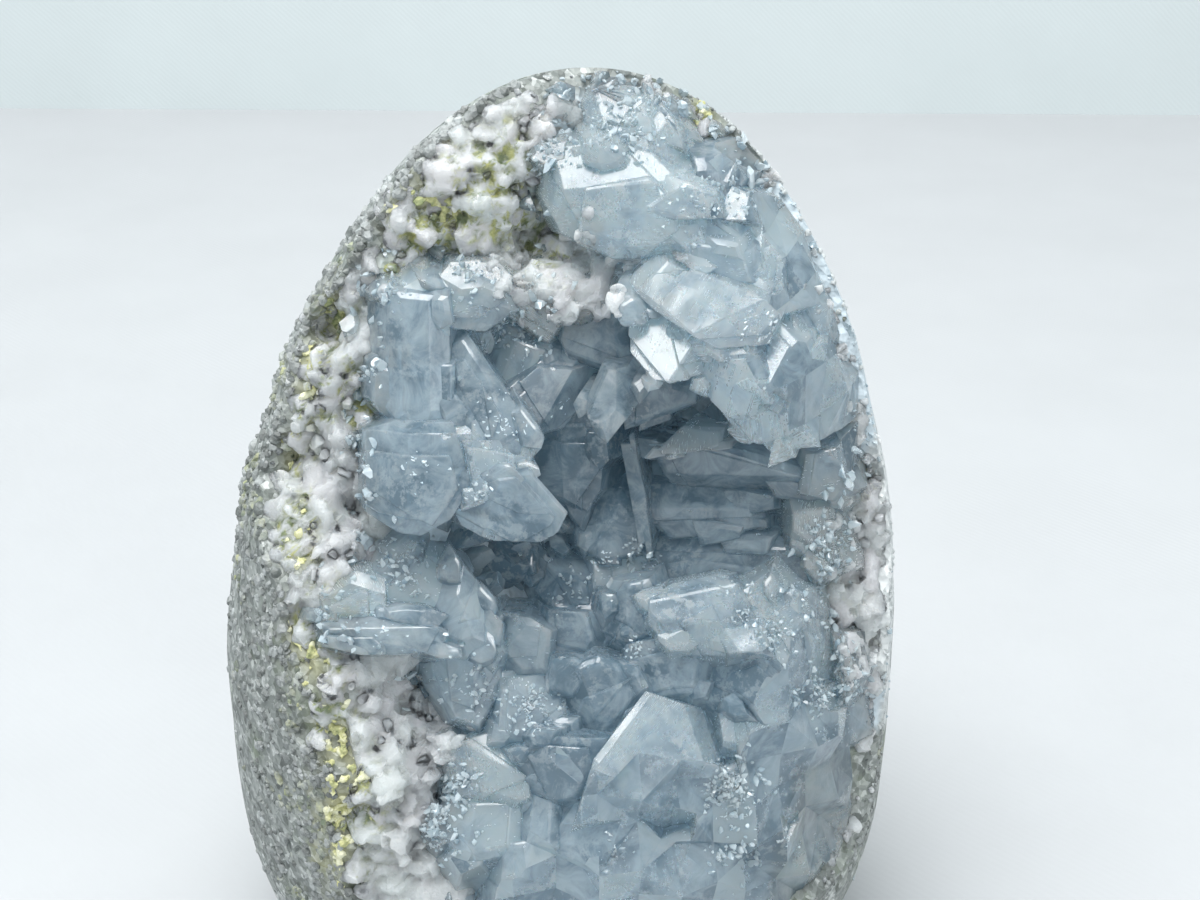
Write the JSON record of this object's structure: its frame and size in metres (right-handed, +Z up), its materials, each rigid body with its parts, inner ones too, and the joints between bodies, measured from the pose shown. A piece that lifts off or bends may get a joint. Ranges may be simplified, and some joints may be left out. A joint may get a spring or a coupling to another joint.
{
  "type": "celestite crystal cluster",
  "caption": "Free-standing rock egg with a broken-open front lined by grown-together pale blue celestite crystals over a sugary grain band.",
  "frame": {"origin": "middle of the flat ground base that the piece stands on", "axes": "+Z up through the egg's height, -Y out of the open crystal front, +X to the right as the front is looked at"},
  "size_m": [0.0742, 0.0621, 0.1043],
  "materials": {
    "geode_rock": "matte",
    "celestite": "satin"
  },
  "bodies": {
    "root": {"geode_shell": "geode_rock", "crystal_crust": "celestite"}
  },
  "joints": []
}
